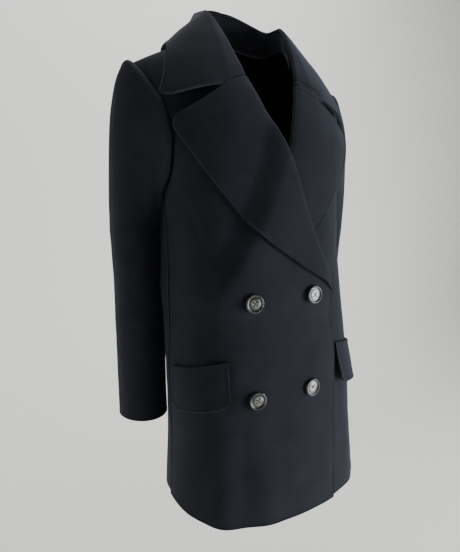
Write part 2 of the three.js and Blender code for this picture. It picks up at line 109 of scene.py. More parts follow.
BODY = table(
    drop=        [0,   60,  120, 180, 240, 320, 420, 520, 640, 767],
    half=        [205, 200, 188, 172, 152, 150, 157, 166, 175, 188],
    side=        [6,   2,   -3,  -6,  -6,  -6,  -6,  -6,  -6,  -6],
    front=       [112, 112, 112, 112, 112, 113, 114, 117, 121, 125],
    back=        [112, 112, 112, 112, 114, 115, 119, 127, 136, 144],
    swing=       [0,   0,   0,   0,   2,   7,   14,  21,  32,  40],
    square_front=[2.2, 2.2, 2.4, 2.6, 2.8, 2.9, 2.9, 2.9, 2.5, 2.2],
    square_back= [2.2, 2.2, 2.2, 2.2, 2.0, 2.0, 2.0, 2.05, 2.1, 2.2],
)
ARMHOLE = table(
    drop= [0,    40, 90, 140, 180, 215, 240],
    front=[65.4, 59, 55, 56,  62,  74,  90],
    back= [65.4, 63, 61, 62,  67,  77,  90],
)
ROLL = table(
    drop=[0,   30,  80,  134, 250, 330, 395],
    x=   [-75, -66, -48, -27, 15,  51,  90],
)
# How much higher the hem hangs than at the centre front
HEM_LIFT = table(
    angle=[0, 35, 65, 90, 125, 180],
    lift= [0, 1,  10, 22, 30,  26],
)


def slopes(x, y):
    """Slope of the curve at each row: the harmonic mean of its neighbours, or flat."""
    steps = np.diff(y) / np.diff(x)
    product = steps[:-1] * steps[1:]
    total = steps[:-1] + steps[1:]
    steady = product > 0
    inner = np.where(steady, 2 * product / np.where(steady, total, 1), 0)
    return np.concatenate([steps[:1], inner, steps[-1:]])


def read(columns, key, at):
    """Values of a column between its rows, on a smooth curve through them."""
    x, y = next(iter(columns.values())), columns[key]
    at = np.clip(at, x[0], x[-1])
    row = np.searchsorted(x[1:-1], at, side="left")
    span, rise = x[row + 1] - x[row], y[row + 1] - y[row]
    slope = slopes(x, y)
    start, end = slope[row] * span, slope[row + 1] * span
    t = (at - x[row]) / span
    return y[row] + rise * t + t * (1 - t) * ((1 - t) * (start - rise) + t * (rise - end))


def ease(x, start, end):
    """A smooth step from 0 at start to 1 at end."""
    t = np.clip((x - start) / (end - start), 0, 1)
    return t * t * (3 - 2 * t)


def mix(a, b, t):
    return a + (b - a) * t


print("Half width at the chest:", round(float(read(BODY, "half", CHEST_DROP))), "mm")

# %% [markdown]
# ## Folds and creases
#
# Heavy wool bends in wide, soft waves and takes few sharp creases. The waves start
# at the waist and open towards the hem. The creases are listed one by one: each is a
# trough or a ridge between two points, with its own width and depth. They could come
# from a cloth simulation, but a table keeps each one where it is wanted.

# %% Waves at the hem, and creases
WAVES = table(
    angle=[-19, -44, 38,  118, 158, 196, 240],
    width=[7,   9,   8,   10,  10,  11,  16],
    depth=[5,   7,   5,   8,   7,   8,   -7],
    start=[520, 560, 560, 470, 430, 410, 300],
)
# Each crease runs from one angle and drop to another. Width and depth are millimetres,
# and a negative depth is a trough. The width of a wave is in degrees.
BODY_CREASES = table(
    angle=   [3,    -30,  -58,  24,   12,   -68,  66,   -104, 84,   150,  205,  172,  -140, 132,  186],
    drop=    [420,  600,  330,  430,  640,  255,  262,  285,  310,  300,  330,  520,  260,  265,  60],
    to_angle=[-3,   -34,  -40,  30,   14,   -50,  54,   -106, 98,   158,  198,  176,  -155, 150,  184],
    to_drop= [760,  766,  420,  700,  766,  330,  345,  440,  395,  420,  470,  760,  350,  370,  200],
    width=   [22,   14,   12,   18,   13,   9,    9,    34,   10,   15,   17,   16,   11,   12,   18],
    depth=   [3.2,  -1.6, -1.2, -1.8, 1.3,  -1.5, -1.3, 10.0,  -1.5, -1.8, 1.6,  -1.9, -1.6, -1.5, -1.2],
)
BODY_MM_PER_DEGREE = 2.7
CREASE_FADE = (0.12, 0.88)    # part of a half wave that the strength of a crease follows


def crease_relief(creases, angle, drop, mm_per_degree):
    """Sum of soft troughs and ridges at each angle and drop."""
    relief = np.zeros(np.broadcast(angle, drop).shape)
    for start, top, to, bottom, width, depth in zip(*creases.values()):
        run, fall = (to - start) * mm_per_degree, bottom - top
        across = ((angle - start + 540) % 360 - 180) * mm_per_degree
        along = np.clip((across * run + (drop - top) * fall) / (run**2 + fall**2), 0, 1)
        away = np.hypot(across - along * run, drop - top - along * fall)
        fade = np.sin(np.pi * mix(*CREASE_FADE, along))
        relief = relief + depth * fade * np.exp(-((away / width) ** 2))
    return relief


def body_relief(angle, drop):
    """How far the cloth stands out from the plain body."""
    relief = crease_relief(BODY_CREASES, angle, drop, BODY_MM_PER_DEGREE)
    for middle, width, depth, start in zip(*WAVES.values()):
        turn = (angle - middle + 540) % 360 - 180
        relief = relief + depth * np.exp(-((turn / width) ** 2)) * ease(drop, start, HEM_DROP)
    return relief


print(f"{len(WAVES['angle'])} waves and {len(BODY_CREASES['angle'])} creases on the body.")

# %% [markdown]
# ## The face of the body
#
# Every piece that lies on the body is found from the same face, moved out by what
# lies under it. That keeps the layers parallel, as pressing does. Angle 0 is the
# centre front, 90 the wearer's left side and 180 the centre back.

# %% Points on the body
def body(key, drop):
    return read(BODY, key, drop)


def power(value, exponent):
    """A power that keeps the sign of its base."""
    return np.sign(value) * np.abs(value) ** exponent


def roundness(drop, exponent):
    """Share of the full depth that the body has reached below the shoulder line."""
    up = np.clip(1 - drop / CHEST_DROP, 0, 1)
    return (1 - up**exponent) ** (1 / exponent)


def shoulder_line(x, is_back):
    """Height of the shoulder line above the level of the neck points."""
    outside = np.maximum(np.abs(x) - NECK_HALF, 0)
    inside = np.minimum(np.abs(x) / NECK_HALF, 1)
    return np.where(is_back, NAPE_RISE * (1 - inside**2), 0) - SHOULDER_SLOPE * outside


def stack(x, y, z):
    return np.stack(np.broadcast_arrays(x, y, z), axis=-1)


def face_point(angle, drop):
    """Point on the body's outer face."""
    sine, cosine = np.sin(np.radians(angle)), np.cos(np.radians(angle))
    is_back = cosine < 0
    square = np.where(is_back, body("square_back", drop), body("square_front", drop))
    across, along = power(sine, 2 / square), power(cosine, 2 / square)
    reach = np.where(
        is_back,
        body("back", drop) * roundness(drop, BACK_ROUND),
        body("front", drop) * roundness(drop, FRONT_ROUND),
    )
    swell = 1 + body_relief(angle, drop) / body("half", drop)
    x = body("swing", drop) + body("half", drop) * across * swell
    y = body("side", drop) - reach * along * swell
    fade = 1 - ease(drop, 0, CHEST_DROP)
    return stack(x, y, -drop + shoulder_line(x, is_back) * fade)


def over_shoulder(angle, drop):
    """A face point that carries on over the shoulder line at a negative drop."""
    front = face_point(angle, np.abs(drop))
    behind = face_point(180 - angle, np.abs(drop))
    return np.where((drop >= 0)[..., None], front, behind)


def unit(vectors):
    return vectors / np.linalg.norm(vectors, axis=-1, keepdims=True)


def on_body(angle, drop, out=0.0):
    """Point on the body, moved out along the face's normal."""
    turn, step = 0.6, 1.5
    angle, drop, out = (np.asarray(a, float) for a in np.broadcast_arrays(angle, drop, out))
    across = face_point(angle + turn, drop) - face_point(angle - turn, drop)
    down = over_shoulder(angle, drop + step) - over_shoulder(angle, drop - step)
    return face_point(angle, drop) + out[..., None] * unit(np.cross(down, across))


def angle_at(x, drop, is_back=False):
    """Angle from the centre front, or the centre back, where the face has this x."""
    square = body("square_back" if is_back else "square_front", drop)
    share = np.clip((x - body("swing", drop)) / body("half", drop), -1, 1)
    return np.sign(share) * np.degrees(np.arcsin(np.abs(share) ** (square / 2)))


def on_shoulder(x, drop, out=0.0):
    """Point above the shoulders. The drop is positive in front and negative behind."""
    far = np.abs(drop)
    front = on_body(angle_at(x, far), far, out)
    behind = on_body(180 - angle_at(x, far, True), far, out)
    return np.where((np.asarray(drop) >= 0)[..., None], front, behind)


def roll_x(drop):
    return read(ROLL, "x", drop)


print("Hem at the centre front:", face_point(np.array(0.0), np.array(HEM_DROP)).round(), "mm")

# %% [markdown]
# ## A shell of cloth
#
# One function makes every piece. It takes a net of points on the outer face, gives it
# a thickness and closes its border with a rounded roll. A seam has a tight roll, so
# two pieces meet in a fine groove. A free edge has a full roll with a slight swell
# beside it, which is where the turned-in cloth lies.

# %% Measures of a net
EDGE_SWELL = {"height": 0.4, "at": 2.8, "width": 2.6}
EDGE_TROUGH = {"height": -0.16, "at": 8.5, "width": 3.0}
UNEVEN = {"height": 0.55, "lengths": (150, 95, 62, 41), "each": 3, "seed": 11}
TURNED_EDGE = 1.0       # a larger roll than this is a free edge, which has a swell


def net_normals(points, outward):
    """Unit normals of a net. They point to the side of the hint, a point far outside."""
    normals = unit(np.cross(np.gradient(points, axis=0), np.gradient(points, axis=1)))
    middle = tuple(n // 2 for n in points.shape[:2])
    return normals * np.sign(normals[middle] @ (outward - points[middle]))


def distances(points):
    """Distance of each point from the four edges of its net, along the cloth."""
    def walk(axis):
        step = np.linalg.norm(np.diff(points, axis=axis), axis=2)
        start = np.zeros_like(np.take(step, [0], axis=axis))
        return np.concatenate([start, np.cumsum(step, axis=axis)], axis=axis)

    down, across = walk(0), walk(1)
    from_far = across[:, -1:] - across
    return {"top": down, "bottom": down[-1:] - down, "near": across, "far": from_far}


def bump(distance, form):
    return form["height"] * np.exp(-(((distance - form["at"]) / form["width"]) ** 2))


def uneven(points):
    """Slow, seeded unevenness that is the same for layers that lie together."""
    rng = np.random.default_rng(UNEVEN["seed"])
    total = np.zeros(points.shape[:-1])
    for length in UNEVEN["lengths"]:
        for _ in range(UNEVEN["each"]):
            way = unit(rng.normal(size=3))
            phase = rng.uniform(0, 2 * np.pi)
            total += np.sin(points @ way * (2 * np.pi / length) + phase) * length
    return UNEVEN["height"] * total / sum(UNEVEN["lengths"])


print(len(UNEVEN["lengths"]) * UNEVEN["each"], "slow waves make the cloth uneven.")

# %% The border of a net
def perimeter(rows, cols):
    """Rows and columns of a net's border, once round."""
    top = [(0, j) for j in range(cols - 1)]
    far = [(i, cols - 1) for i in range(rows - 1)]
    bottom = [(rows - 1, j) for j in range(cols - 1, 0, -1)]
    near = [(i, 0) for i in range(rows - 1, 0, -1)]
    return np.array(top + far + bottom + near).T


def border_way(points):
    """Unit direction out of the net along its border, in the surface."""
    down, across = unit(np.gradient(points, axis=0)), unit(np.gradient(points, axis=1))
    way = np.zeros_like(points)
    way[0] -= down[0]
    way[-1] += down[-1]
    way[:, 0] -= across[:, 0]
    way[:, -1] += across[:, -1]
    length = np.linalg.norm(way, axis=-1, keepdims=True)
    return way / np.where(length > 0, length, 1)


def rolls(top, bottom, near, far):
    """Roll radius of each side of a net. A seam has a small one."""
    return {"top": top, "bottom": bottom, "near": near, "far": far}


def border_rolls(rows, cols, edges):
    """Roll radius at each border point; edges gives one for each side of the net."""
    radii = np.zeros((rows, cols))
    radii[0], radii[-1] = edges["top"], edges["bottom"]
    radii[:, 0] = np.maximum(radii[:, 0], edges["near"])
    radii[:, -1] = np.maximum(radii[:, -1], edges["far"])
    return radii


print("A net of 4 by 5 points has", perimeter(4, 5).shape[1], "points on its border.")

# %% Objects
def new_object(name, data):
    """An object in the scene, at the origin."""
    thing = bpy.data.objects.new(name, data)
    bpy.context.scene.collection.objects.link(thing)
    return thing


def plain_object(name, vertices, faces, material):
    """A mesh object from corners in millimetres."""
    mesh = bpy.data.meshes.new(name)
    mesh.from_pydata((np.asarray(vertices) / METRE).tolist(), [], faces)
    if material:
        mesh.materials.append(material)
    return new_object(name, mesh)


def smooth_object(name, vertices, faces, material):
    """A smooth mesh object, with its normals pointing out."""
    thing = plain_object(name, vertices, faces.tolist(), material)
    thing.data.polygons.foreach_set("use_smooth", np.ones(len(faces), bool))
    corners = vertices[faces]
    area = np.cross(corners[:, 2] - corners[:, 0], corners[:, 3] - corners[:, 1])
    if (corners.mean(1) * area).sum() < 0:
        thing.data.flip_normals()
    return thing


def quads(grid):
    """Faces between the rows and columns of a grid of vertex numbers."""
    corners = [grid[:-1, :-1], grid[1:, :-1], grid[1:, 1:], grid[:-1, 1:]]
    return np.stack(corners, -1).reshape(-1, 4)


print("A grid of 4 by 5 points has", len(quads(np.arange(20).reshape(4, 5))), "faces.")

# %% The shell
ROLL_STEPS = 6


def shell(name, points, thick, outward, edges, relief=0.0):
    """A closed piece of cloth under a net of points, with rounded borders."""
    outward = np.array(outward, float)
    free = [side for side, radius in edges.items() if radius > TURNED_EDGE]
    lift = relief + uneven(points)
    if free:
        away = np.min([distances(points)[side] for side in free], axis=0)
        lift = lift + bump(away, EDGE_SWELL) + bump(away, EDGE_TROUGH)
    points = points + lift[..., None] * net_normals(points, outward)
    normals = net_normals(points, outward)
    rows, cols = points.shape[:2]
    way, radii = border_way(points), border_rolls(rows, cols, edges)[..., None]
    outer = points - way * radii
    inner = outer - normals * thick
    i, j = perimeter(rows, cols)
    half, reach = normals[i, j] * thick / 2, (way * radii)[i, j]
    rings = []
    for turn in np.linspace(np.pi / 2, -np.pi / 2, ROLL_STEPS + 1)[1:-1]:
        rings.append(outer[i, j] - half + half * np.sin(turn) + reach * np.cos(turn))
    size = rows * cols
    number = np.arange(size).reshape(rows, cols)
    ring_start = 2 * size
    loops = [number[i, j]]
    loops += [ring_start + k * len(i) + np.arange(len(i)) for k in range(len(rings))]
    loops += [size + number[i, j]]
    loops = np.array([np.append(loop, loop[0]) for loop in loops])
    faces = np.concatenate([quads(number), quads(size + number)[:, ::-1], quads(loops)])
    vertices = np.concatenate([outer.reshape(-1, 3), inner.reshape(-1, 3), *rings])
    return smooth_object(name, vertices, faces, melton)


print("The border of a shell is rounded in", ROLL_STEPS, "steps.")

# %% [markdown]
# ## Materials
#
# Materials are networks of nodes. A small class lets them be written as sums: each
# value knows how to add, multiply and mix. Melton is felted wool, so it has no weave
# to see. It has a dark colour, a rough surface, a soft sheen at grazing angles and a
# short nap. Horn is cloudy, with a satin polish.

# %% A value in a node tree
class Value:
    """A socket of a node tree that can be used in arithmetic."""

    def __init__(self, tree, socket):
        self.tree, self.socket = tree, socket

    def node(self, kind, *values, out=0, settings=None, **inputs):
        """Any node. Its inputs are given in order or by name."""
        made = self.tree.nodes.new(kind)
        for key, value in (settings or {}).items():
            setattr(made, key, value)
        for socket, value in zip(made.inputs, values):
            self.feed(socket, value)
        set_inputs(self, made, **inputs)
        return Value(self.tree, made.outputs[out])

    def feed(self, socket, value):
        """Links a value to a socket, or sets the socket to a number, colour or name."""
        if isinstance(value, Value):
            self.tree.links.new(value.socket, socket)
        else:
            socket.default_value = value

    def maths(self, operation, *values, clamp=False):
        settings = {"operation": operation, "use_clamp": clamp}
        return self.node("ShaderNodeMath", *values, settings=settings)

    def __add__(self, other):
        return self.maths("ADD", self, other)

    def __sub__(self, other):
        return self.maths("SUBTRACT", self, other)

    def __rsub__(self, other):
        return self.maths("SUBTRACT", other, self)

    def __mul__(self, other):
        return self.maths("MULTIPLY", self, other)

    def __pow__(self, other):
        return self.maths("POWER", self, other)

    __radd__, __rmul__ = __add__, __mul__

    def __abs__(self):
        return self.maths("ABSOLUTE", self)

    def distance(self, place):
        """Distance of this place from another."""
        settings = {"operation": "DISTANCE"}
        return self.node("ShaderNodeVectorMath", self, place, out=1, settings=settings)

    def between(self, low, high):
        """Share of the way from low to high, kept between 0 and 1."""
        return self.maths("MULTIPLY", self - low, 1 / (high - low), clamp=True)

    def colour(self, dark, light):
        """A colour between two others. They go to the node's sockets number 6 and 7."""
        made = self.tree.nodes.new("ShaderNodeMix")
        made.data_type = "RGBA"
        self.feed(made.inputs[0], self)
        self.feed(made.inputs[6], dark)
        self.feed(made.inputs[7], light)
        return Value(self.tree, made.outputs[2])

    def noise(self, scale, detail=2.0, roughness=0.5):
        """Noise between 0 and 1 at this place."""
        inputs = {"Scale": scale, "Detail": detail, "Roughness": roughness}
        return self.node("ShaderNodeTexNoise", Vector=self, **inputs)


def new_material(name):
    """A material, its shader and the place on the object."""
    material = bpy.data.materials.new(name)
    material.use_nodes = True
    tree = material.node_tree
    place = tree.nodes.new("ShaderNodeTexCoord").outputs["Object"]
    return material, tree.nodes["Principled BSDF"], Value(tree, place)


def set_inputs(place, node, **inputs):
    """Sets a node's inputs by name, with spaces as underscores."""
    for name, value in inputs.items():
        place.feed(node.inputs[name.replace("_", " ")], value)


def finish_shader(place, shader, height, depth, **inputs):
    """Sets a shader's inputs, with a bump from a height."""
    normal = place.node("ShaderNodeBump", Height=height, Distance=depth)
    set_inputs(place, shader, Normal=normal, **inputs)


print("Values can be added, multiplied and mixed.")

# %% Melton
NAVY_DEEP = (0.0060, 0.0069, 0.0096, 1)
NAVY_LIFTED = (0.0128, 0.0149, 0.0212, 1)
SHEEN_TINT = (0.60, 0.69, 0.90, 1)
NAP_DEPTH = 0.0005      # metres


def make_melton():
    material, shader, place = new_material("melton")
    felt = place.noise(420, 4, 0.6)
    pile = place.noise(1700, 2, 0.6)
    clouds = place.noise(26, 3, 0.55)
    tone = clouds.between(0.3, 0.7) * 0.6 + felt.between(0.3, 0.7) * 0.4
    finish_shader(
        place, shader, felt * 0.6 + pile * 0.4, NAP_DEPTH,
        Base_Color=tone.colour(NAVY_DEEP, NAVY_LIFTED),
        Roughness=0.86 + 0.1 * felt,
        Specular_IOR_Level=0.22,
        Sheen_Weight=0.12,
        Sheen_Roughness=0.42,
        Sheen_Tint=SHEEN_TINT,
    )
    return material


melton = make_melton()
print("Cloth material:", melton.name)

# %% Horn and thread
# Paler horn colours: a painted highlight, as if the dished middle caught the light
HORN_PAINTED_HIGHLIGHT = ((0.060, 0.061, 0.061, 1), (0.42, 0.41, 0.385, 1))
HORN_GREY = ((0.010, 0.011, 0.012, 1), (0.14, 0.137, 0.13, 1))
# Near black: painted shade for the sunken ring between the middle disc and the rim
PAINTED_SHADE_COLOUR = (0.004, 0.004, 0.005, 1)
# Distances from the middle of the button's own map, where its rim is at 0.5
HIGHLIGHT_FADE = (0.10, 0.30)
PAINTED_SHADE_RING = {"at": 0.335, "fade": (0.02, 0.07), "strength": 0.8}
VEINS = {"low": 0.55, "high": 0.95, "warp": 0.5, "contrast": 1.4}
POLISH_DEPTH = 0.00008  # metres
THREAD_COLOURS = ((0.006, 0.006, 0.008, 1), (0.02, 0.02, 0.024, 1))
THREAD_DEPTH = 0.0002


def make_horn():
    """Polished horn, with a painted highlight in the dished middle and painted shade in the sunken ring
    around it.
    """
    material, shader, place = new_material("horn")
    face = place.node("ShaderNodeUVMap", settings={"uv_map": "face"})
    out = face.distance((0.5, 0.5, 0))
    # Painted highlight: the dished middle takes the paler colours
    middle = 1 - out.between(*HIGHLIGHT_FADE)
    # Painted shade: the ring round the middle disc is darkened as if it lay in shadow
    shade_ring = 1 - abs(out - PAINTED_SHADE_RING["at"]).between(*PAINTED_SHADE_RING["fade"])
    warp = place.noise(60, 2)
    veins = place.noise(140, 5, 0.65) + warp * VEINS["warp"]
    veins = veins.between(VEINS["low"], VEINS["high"])
    pale = veins.colour(*HORN_PAINTED_HIGHLIGHT)
    grey = (veins ** VEINS["contrast"]).colour(*HORN_GREY)
    face_colour = middle.colour(grey, pale)
    finish_shader(
        place, shader, place.noise(900, 2), POLISH_DEPTH,
        Base_Color=(shade_ring * PAINTED_SHADE_RING["strength"]).colour(face_colour, PAINTED_SHADE_COLOUR),
        Roughness=0.26 + 0.12 * warp,
        Coat_Weight=0.35,
        Coat_Roughness=0.2,
    )
    return material


def make_thread():
    material, shader, place = new_material("thread")
    finish_shader(
        place, shader, place.noise(2500, 2), THREAD_DEPTH,
        Base_Color=place.noise(800).colour(*THREAD_COLOURS),
        Roughness=0.8,
    )
    return material


horn, thread = make_horn(), make_thread()
print("Button materials:", horn.name, "and", thread.name)

# %% [markdown]
# ## Joining a piece to the frame
#
# Each shell rides on the frame's body and takes the place of its plain solid.


def dress(thing, node):
    """Puts a piece in the place of its solid."""
    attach(thing, "root")
    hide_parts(node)


def shares(count, start=0.0, end=1.0):
    """Even shares from start to end."""
    return np.linspace(start, end, count + 1)


def grid(rows, cols):
    """Row shares down the first axis and column shares along the second."""
    return np.meshgrid(rows, cols, indexing="ij")


def even_grid(rows, cols):
    return grid(shares(rows), shares(cols))


def put(node, points, thick, outward, edges, relief=0.0):
    """Builds a piece from its net and dresses the frame with it."""
    dress(shell(node, points, thick, outward, edges, relief), node)


# %% [markdown]
# ## Back and fronts
#
# The back is one piece and each front another, sewn at the shoulders and the sides. They
# could be cut from one shell, but nets of their own give real seams. Rows are close
# together over the shoulder, where the face turns fastest. The right front laps over
# the left one and over the left lapel, so it stands out there by what lies under it.

# %% Back and fronts
BODY_ROWS = 190
BACK_COLUMNS, FRONT_COLUMNS = 130, 90
SHOULDER_SHARE = 0.42   # share of the rows that lie over the shoulder
SHOULDER_CROWDING = 1.7
SEAM_ROLL, FREE_ROLL = 0.7, 1.5
SEWN_EDGES = rolls(SEAM_ROLL, FREE_ROLL, SEAM_ROLL, SEAM_ROLL)
FRONT_EDGES = rolls(SEAM_ROLL, FREE_ROLL, FREE_ROLL, SEAM_ROLL)
EDGE_RUN_OUT = 120.0    # below the break, until an edge has its full overlap
LAPEL_GAP = 1.5
LAPEL_LIFT = 3.8
OVER_FRONT = (56.0, 9.0)    # where the right front rises over the left, from its edge
OVER_LAPEL = (10.0, 60.0)   # above and below the break, where it comes down again
OVER_TOP = 60.0             # above the crossing, where it starts to lie over the left
FAR_AWAY = 2000.0


def hem_drop(angle):
    """Drop of the hem at an angle round the body."""
    return HEM_DROP - read(HEM_LIFT, "lift", np.abs(angle))


def row_drop(v, top, hem):
    """Drop of a row: close together over the shoulder, even from there to the hem."""
    over = (np.minimum(v, SHOULDER_SHARE) / SHOULDER_SHARE) ** SHOULDER_CROWDING
    high = mix(top, CHEST_DROP, over)
    low = mix(CHEST_DROP, hem, (v - SHOULDER_SHARE) / (1 - SHOULDER_SHARE))
    return np.where(v < SHOULDER_SHARE, high, low)


def back_points(v, u):
    side = mix(-1, 1, u)
    share = np.minimum(np.abs(side) * SHOULDER_HALF / NECK_HALF, 1)
    drop = row_drop(v, NAPE_DROP * np.sqrt(1 - share**2), hem_drop(180 - side * 90))
    points = on_body(180 - side * (read(ARMHOLE, "back", drop) - SIDE_GAP), drop)
    points[..., 1] += np.where(drop < 1, SEAM / 2, 0)
    return points


def front_edge(drop):
    """Sideways place of a front's edge: the roll line, then the free edge below it."""
    return mix(roll_x(drop), OVERLAP, ease(drop, BREAK_DROP, BREAK_DROP + EDGE_RUN_OUT))


def lap_out(x, drop):
    """How far the right front stands out over the left front and the left lapel."""
    edge = -front_edge(drop)
    over_front = ease(x, edge - OVER_FRONT[0], edge - OVER_FRONT[1])
    crossed = ease(drop, CROSSING_DROP - OVER_TOP, CROSSING_DROP)
    over_lapel = 1 - ease(drop, BREAK_DROP - OVER_LAPEL[0], BREAK_DROP + OVER_LAPEL[1])
    lapel_out = over_lapel * (DOUBLE + LAPEL_LIFT + LAPEL_GAP)
    return over_front * crossed * (WALL + LAPEL_GAP + lapel_out)


def front_points(side, v, u):
    hem_start = angle_at(-side * OVERLAP, np.array(HEM_DROP))
    drop = row_drop(v, 0, hem_drop(mix(hem_start, side * 90, u)))
    inner = -side * front_edge(drop)
    angle = mix(angle_at(inner, drop), side * (read(ARMHOLE, "front", drop) - SIDE_GAP), u)
    out = lap_out(face_point(angle, drop)[..., 0], drop) if side < 0 else 0.0
    points = on_body(angle, drop, out)
    points[..., 1] -= np.where(drop < 1, SEAM / 2, 0)
    return points


net = back_points(*even_grid(BODY_ROWS, BACK_COLUMNS))
put("back", net, WALL, (0, FAR_AWAY, 0), SEWN_EDGES)
for name, side in (("right_front", -1), ("left_front", 1)):
    net = front_points(side, *even_grid(BODY_ROWS, FRONT_COLUMNS))
    put(name, net, WALL, (side * FAR_AWAY, -FAR_AWAY, 0), FRONT_EDGES)

# %% [markdown]
# ## Lapels
#
# A lapel is the upper corner of a front, turned back along the roll line. Bending a
# flat corner would need a deformer, so the net is placed where it ends: its first
# columns go round the roll, and the rest lies on the front. The tip is rounded, as
# thick cloth can't be turned to a sharp point.

# %% Lapels
LAPEL_EDGE = table(
    run= [0,   0.12, 0.32, 0.53, 0.74, 0.9,  1],
    x=   [86,  70,   18,   -50,  -104, -146, -161],
    drop=[399, 383,  352,  306,  240,  169,  126],
)
FOLD_RADIUS = 6.0
FOLD_SHARE = 0.2        # share of the columns that go round the fold
FOLD_TURN = math.radians(75)
LAPEL_PUFF = 3.0
LAPEL_START = 0.02      # a lapel starts just above the break
LAPEL_MERGE = 0.16      # share of the roll line where a lapel grows out of the front
TURNED_EDGES = rolls(1.4, 1.2, 1.0, 2.0)
TIP = {"radius": 18.0, "width": 110.0, "start": 1.2}    # starts a little way round the corner
LAPEL_LENGTH = 340.0    # along the outer edge
LAPEL_NET = (120, 70)
ROWS_TO_TIP = 1.43      # rows are closer together towards the tip


def across_fold(u):
    """Place across a turned-back piece: past the fold, height lost there, share outward."""
    turn = FOLD_TURN * np.clip(1 - u / FOLD_SHARE, 0, 1)
    share = np.clip((u - FOLD_SHARE) / (1 - FOLD_SHARE), 0, 1)
    return FOLD_RADIUS * np.sin(turn), FOLD_RADIUS * (1 - np.cos(turn)), share


def tip_share(from_end):
    """Share that is left of a row across a piece, where the piece's tip is round."""
    radius = TIP["radius"]
    short = np.maximum(radius - TIP["start"] - from_end, 0)
    return 1 - (radius - np.sqrt(radius**2 - short**2)) / TIP["width"]


def lapel_points(side, v, u):
    run = mix(LAPEL_START, 1, v)
    past, lost, share = across_fold(u)
    grown = ease(run, -LAPEL_START, LAPEL_MERGE)
    past, lost, share = past * grown, lost * grown, mix(u, share, grown)
    share = share * tip_share((1 - run) * LAPEL_LENGTH)
    roll_drop = mix(BREAK_DROP, GORGE_DROP, run)
    x = mix(roll_x(roll_drop), read(LAPEL_EDGE, "x", run), share) + past
    drop = mix(roll_drop, read(LAPEL_EDGE, "drop", run), share)
    under = lap_out(x, drop) if side < 0 else 0.0
    puff = LAPEL_PUFF * np.sin(np.pi * np.sqrt(share)) * run
    over = mix(WALL / 2, DOUBLE + LAPEL_GAP, grown) + puff - lost
    return on_body(angle_at(-side * x, drop), drop, under + over)


lapel_rows = 1 - (1 - shares(LAPEL_NET[0])) ** ROWS_TO_TIP
for name, side in (("right_lapel", -1), ("left_lapel", 1)):
    net = lapel_points(side, *grid(lapel_rows, shares(LAPEL_NET[1])))
    put(name, net, DOUBLE, (side * FAR_AWAY / 2, -FAR_AWAY, 0), TURNED_EDGES)

# %% [markdown]
# ## Collar
#
# The collar is a band that rises from the neck seam, rolls over and falls on the
# shoulders. The stand is the inner part, up to the roll. A swept profile could make it,
# but the fall has to lie on the shoulders, so its points are found above them. The
# table gives one half; the other half is its mirror image.

# %% Collar
COLLAR = table(
    at=       [0,   0.2, 0.4,  0.55, 0.7,  0.86, 0.96, 1],
    seam_x=   [0,   -32, -60,  -75,  -68,  -58,  -51,  -49],
    seam_drop=[-30, -27, -16,  0,    20,   52,   73,   78],
    rise_x=   [0,   -3,  -2,   4,    3,    1,    0,    0],
    rise_y=   [19,  16,  11,   2,    -2,   -5,   -6,   -6],
    rise_z=   [70,  68,  57,   38,   24,   12,   6,    5],
    edge_x=   [0,   -62, -110, -131, -147, -158, -165, -163],
    edge_drop=[-80, -72, -40,  -5,   18,   52,   76,   87],
    sag=      [0,   0,   0,    0,    0,    3,    12,   14],
)
NOTCH_SHARE = 0.34      # share of the collar's front end that is sewn to the lapel
COLLAR_GAP = 4.2
COLLAR_PUFF = 3.0
# Near each end the collar is sewn to the lapel: it laps over it and lies lower there
GORGE = {"lap": 2.4, "dip": 2.0, "from": 0.93, "fade": (-0.06, 0.10)}
RISE_CURVE = 1.35       # how fast the fall comes down from the roll to the shoulders
STAND_CLEARANCE = 7.6
STAND_INSET = {"top": 4.5, "foot": 3.1}
STAND_END = 0.84
FALL_EDGES = rolls(1.5, 1.5, 1.0, 2.0)
STAND_EDGES = rolls(0.9, 0.9, 0.9, 0.9)
COLLAR_LENGTH = 290.0   # half of the fall, along its outer edge
FALL_NET = (190, 60)
STAND_NET = (110, 14)
END_CROWDING = 0.11


def collar(at, key):
    return read(COLLAR, key, np.abs(at))


def collar_side(at):
    return np.where(at < 0, 1, -1)


def collar_foot(at, out=0.0):
    """Foot of the collar on the neck seam, from -1 at its right end to 1 at its left."""
    return on_shoulder(collar_side(at) * collar(at, "seam_x"), collar(at, "seam_drop"), out)


def collar_rise(at):
    return stack(collar_side(at) * collar(at, "rise_x"), collar(at, "rise_y"), collar(at, "rise_z"))


def towards_neck(at):
    """Direction across the roll, towards the neck."""
    step = 0.02
    ahead, behind = np.minimum(at + step, 1), np.maximum(at - step, -1)
    along = collar_foot(ahead) + collar_rise(ahead) - collar_foot(behind) - collar_rise(behind)
    return -unit(np.cross(collar_rise(at), along))


print("Rise of the collar at the centre back:", COLLAR["rise_z"][0], "mm")

# %% Fall and stand
def fall_points(v, u):
    at = mix(-1, 1, v)
    past, lost, share = across_fold(u)
    share = share * tip_share((1 - np.abs(at)) * COLLAR_LENGTH)
    notch = np.minimum(share / NOTCH_SHARE, (1 - share) / (1 - NOTCH_SHARE))
    x = mix(collar(at, "seam_x"), collar(at, "edge_x"), share)
    drop = mix(collar(at, "seam_drop"), collar(at, "edge_drop"), share)
    start, end = (NOTCH_SHARE + fade for fade in GORGE["fade"])
    sewn = ease(np.abs(at), GORGE["from"], 1) * (1 - ease(share, start, end))
    drop = drop + collar(at, "sag") * notch + GORGE["lap"] * sewn
    lift = ((1 - share) ** RISE_CURVE)[..., None]
    rest = (DOUBLE + COLLAR_GAP) * (1 - lift[..., 0]) + COLLAR_PUFF * np.sin(np.pi * share)
    rest = rest - GORGE["dip"] * sewn
    rise = collar_rise(at)
    points = on_shoulder(collar_side(at) * x, drop, rest) + rise * lift
    over = past[..., None] * towards_neck(at) - lost[..., None] * unit(rise)
    return points + np.where(past[..., None] > 0, over, 0)


